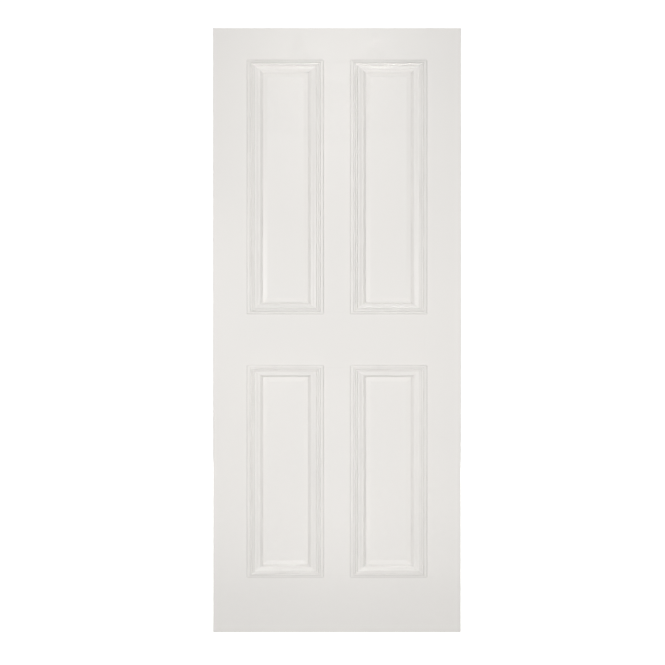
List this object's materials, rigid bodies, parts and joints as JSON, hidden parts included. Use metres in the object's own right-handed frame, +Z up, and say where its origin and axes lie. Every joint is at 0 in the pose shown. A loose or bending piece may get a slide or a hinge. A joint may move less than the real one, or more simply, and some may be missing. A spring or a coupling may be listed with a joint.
{
  "type": "interior door leaf",
  "caption": "Primed interior door leaf: tenoned stiles, rails and muntins hold fielded panels framed by mitred bolection mouldings on both faces.",
  "frame": {"origin": "middle of the leaf's bottom edge: halfway across its width and halfway through its thickness", "axes": "+Z up the leaf, +X across it from left to right as seen from the front, +Y from the front face to the back face"},
  "size_m": [0.813, 0.05, 1.981],
  "materials": {
    "frame_primer": "sprayed white primer, satin",
    "panel_primer": "sprayed white primer, satin",
    "moulding_primer": "sprayed white primer, satin"
  },
  "bodies": {
    "root": {"left_stile": "frame_primer", "right_stile": "frame_primer", "top_rail": "frame_primer", "lock_rail": "frame_primer", "bottom_rail": "frame_primer", "upper_muntin": "frame_primer", "lower_muntin": "frame_primer", "upper_left_panel": "panel_primer", "upper_right_panel": "panel_primer", "lower_left_panel": "panel_primer", "lower_right_panel": "panel_primer", "upper_left_front_moulding_left": "moulding_primer", "upper_left_front_moulding_top": "moulding_primer", "upper_left_front_moulding_right": "moulding_primer", "upper_left_front_moulding_bottom": "moulding_primer", "upper_left_back_moulding_left": "moulding_primer", "upper_left_back_moulding_top": "moulding_primer", "upper_left_back_moulding_right": "moulding_primer", "upper_left_back_moulding_bottom": "moulding_primer", "upper_right_front_moulding_left": "moulding_primer", "upper_right_front_moulding_top": "moulding_primer", "upper_right_front_moulding_right": "moulding_primer", "upper_right_front_moulding_bottom": "moulding_primer", "upper_right_back_moulding_left": "moulding_primer", "upper_right_back_moulding_top": "moulding_primer", "upper_right_back_moulding_right": "moulding_primer", "upper_right_back_moulding_bottom": "moulding_primer", "lower_left_front_moulding_left": "moulding_primer", "lower_left_front_moulding_top": "moulding_primer", "lower_left_front_moulding_right": "moulding_primer", "lower_left_front_moulding_bottom": "moulding_primer", "lower_left_back_moulding_left": "moulding_primer", "lower_left_back_moulding_top": "moulding_primer", "lower_left_back_moulding_right": "moulding_primer", "lower_left_back_moulding_bottom": "moulding_primer", "lower_right_front_moulding_left": "moulding_primer", "lower_right_front_moulding_top": "moulding_primer", "lower_right_front_moulding_right": "moulding_primer", "lower_right_front_moulding_bottom": "moulding_primer", "lower_right_back_moulding_left": "moulding_primer", "lower_right_back_moulding_top": "moulding_primer", "lower_right_back_moulding_right": "moulding_primer", "lower_right_back_moulding_bottom": "moulding_primer"}
  },
  "joints": []
}
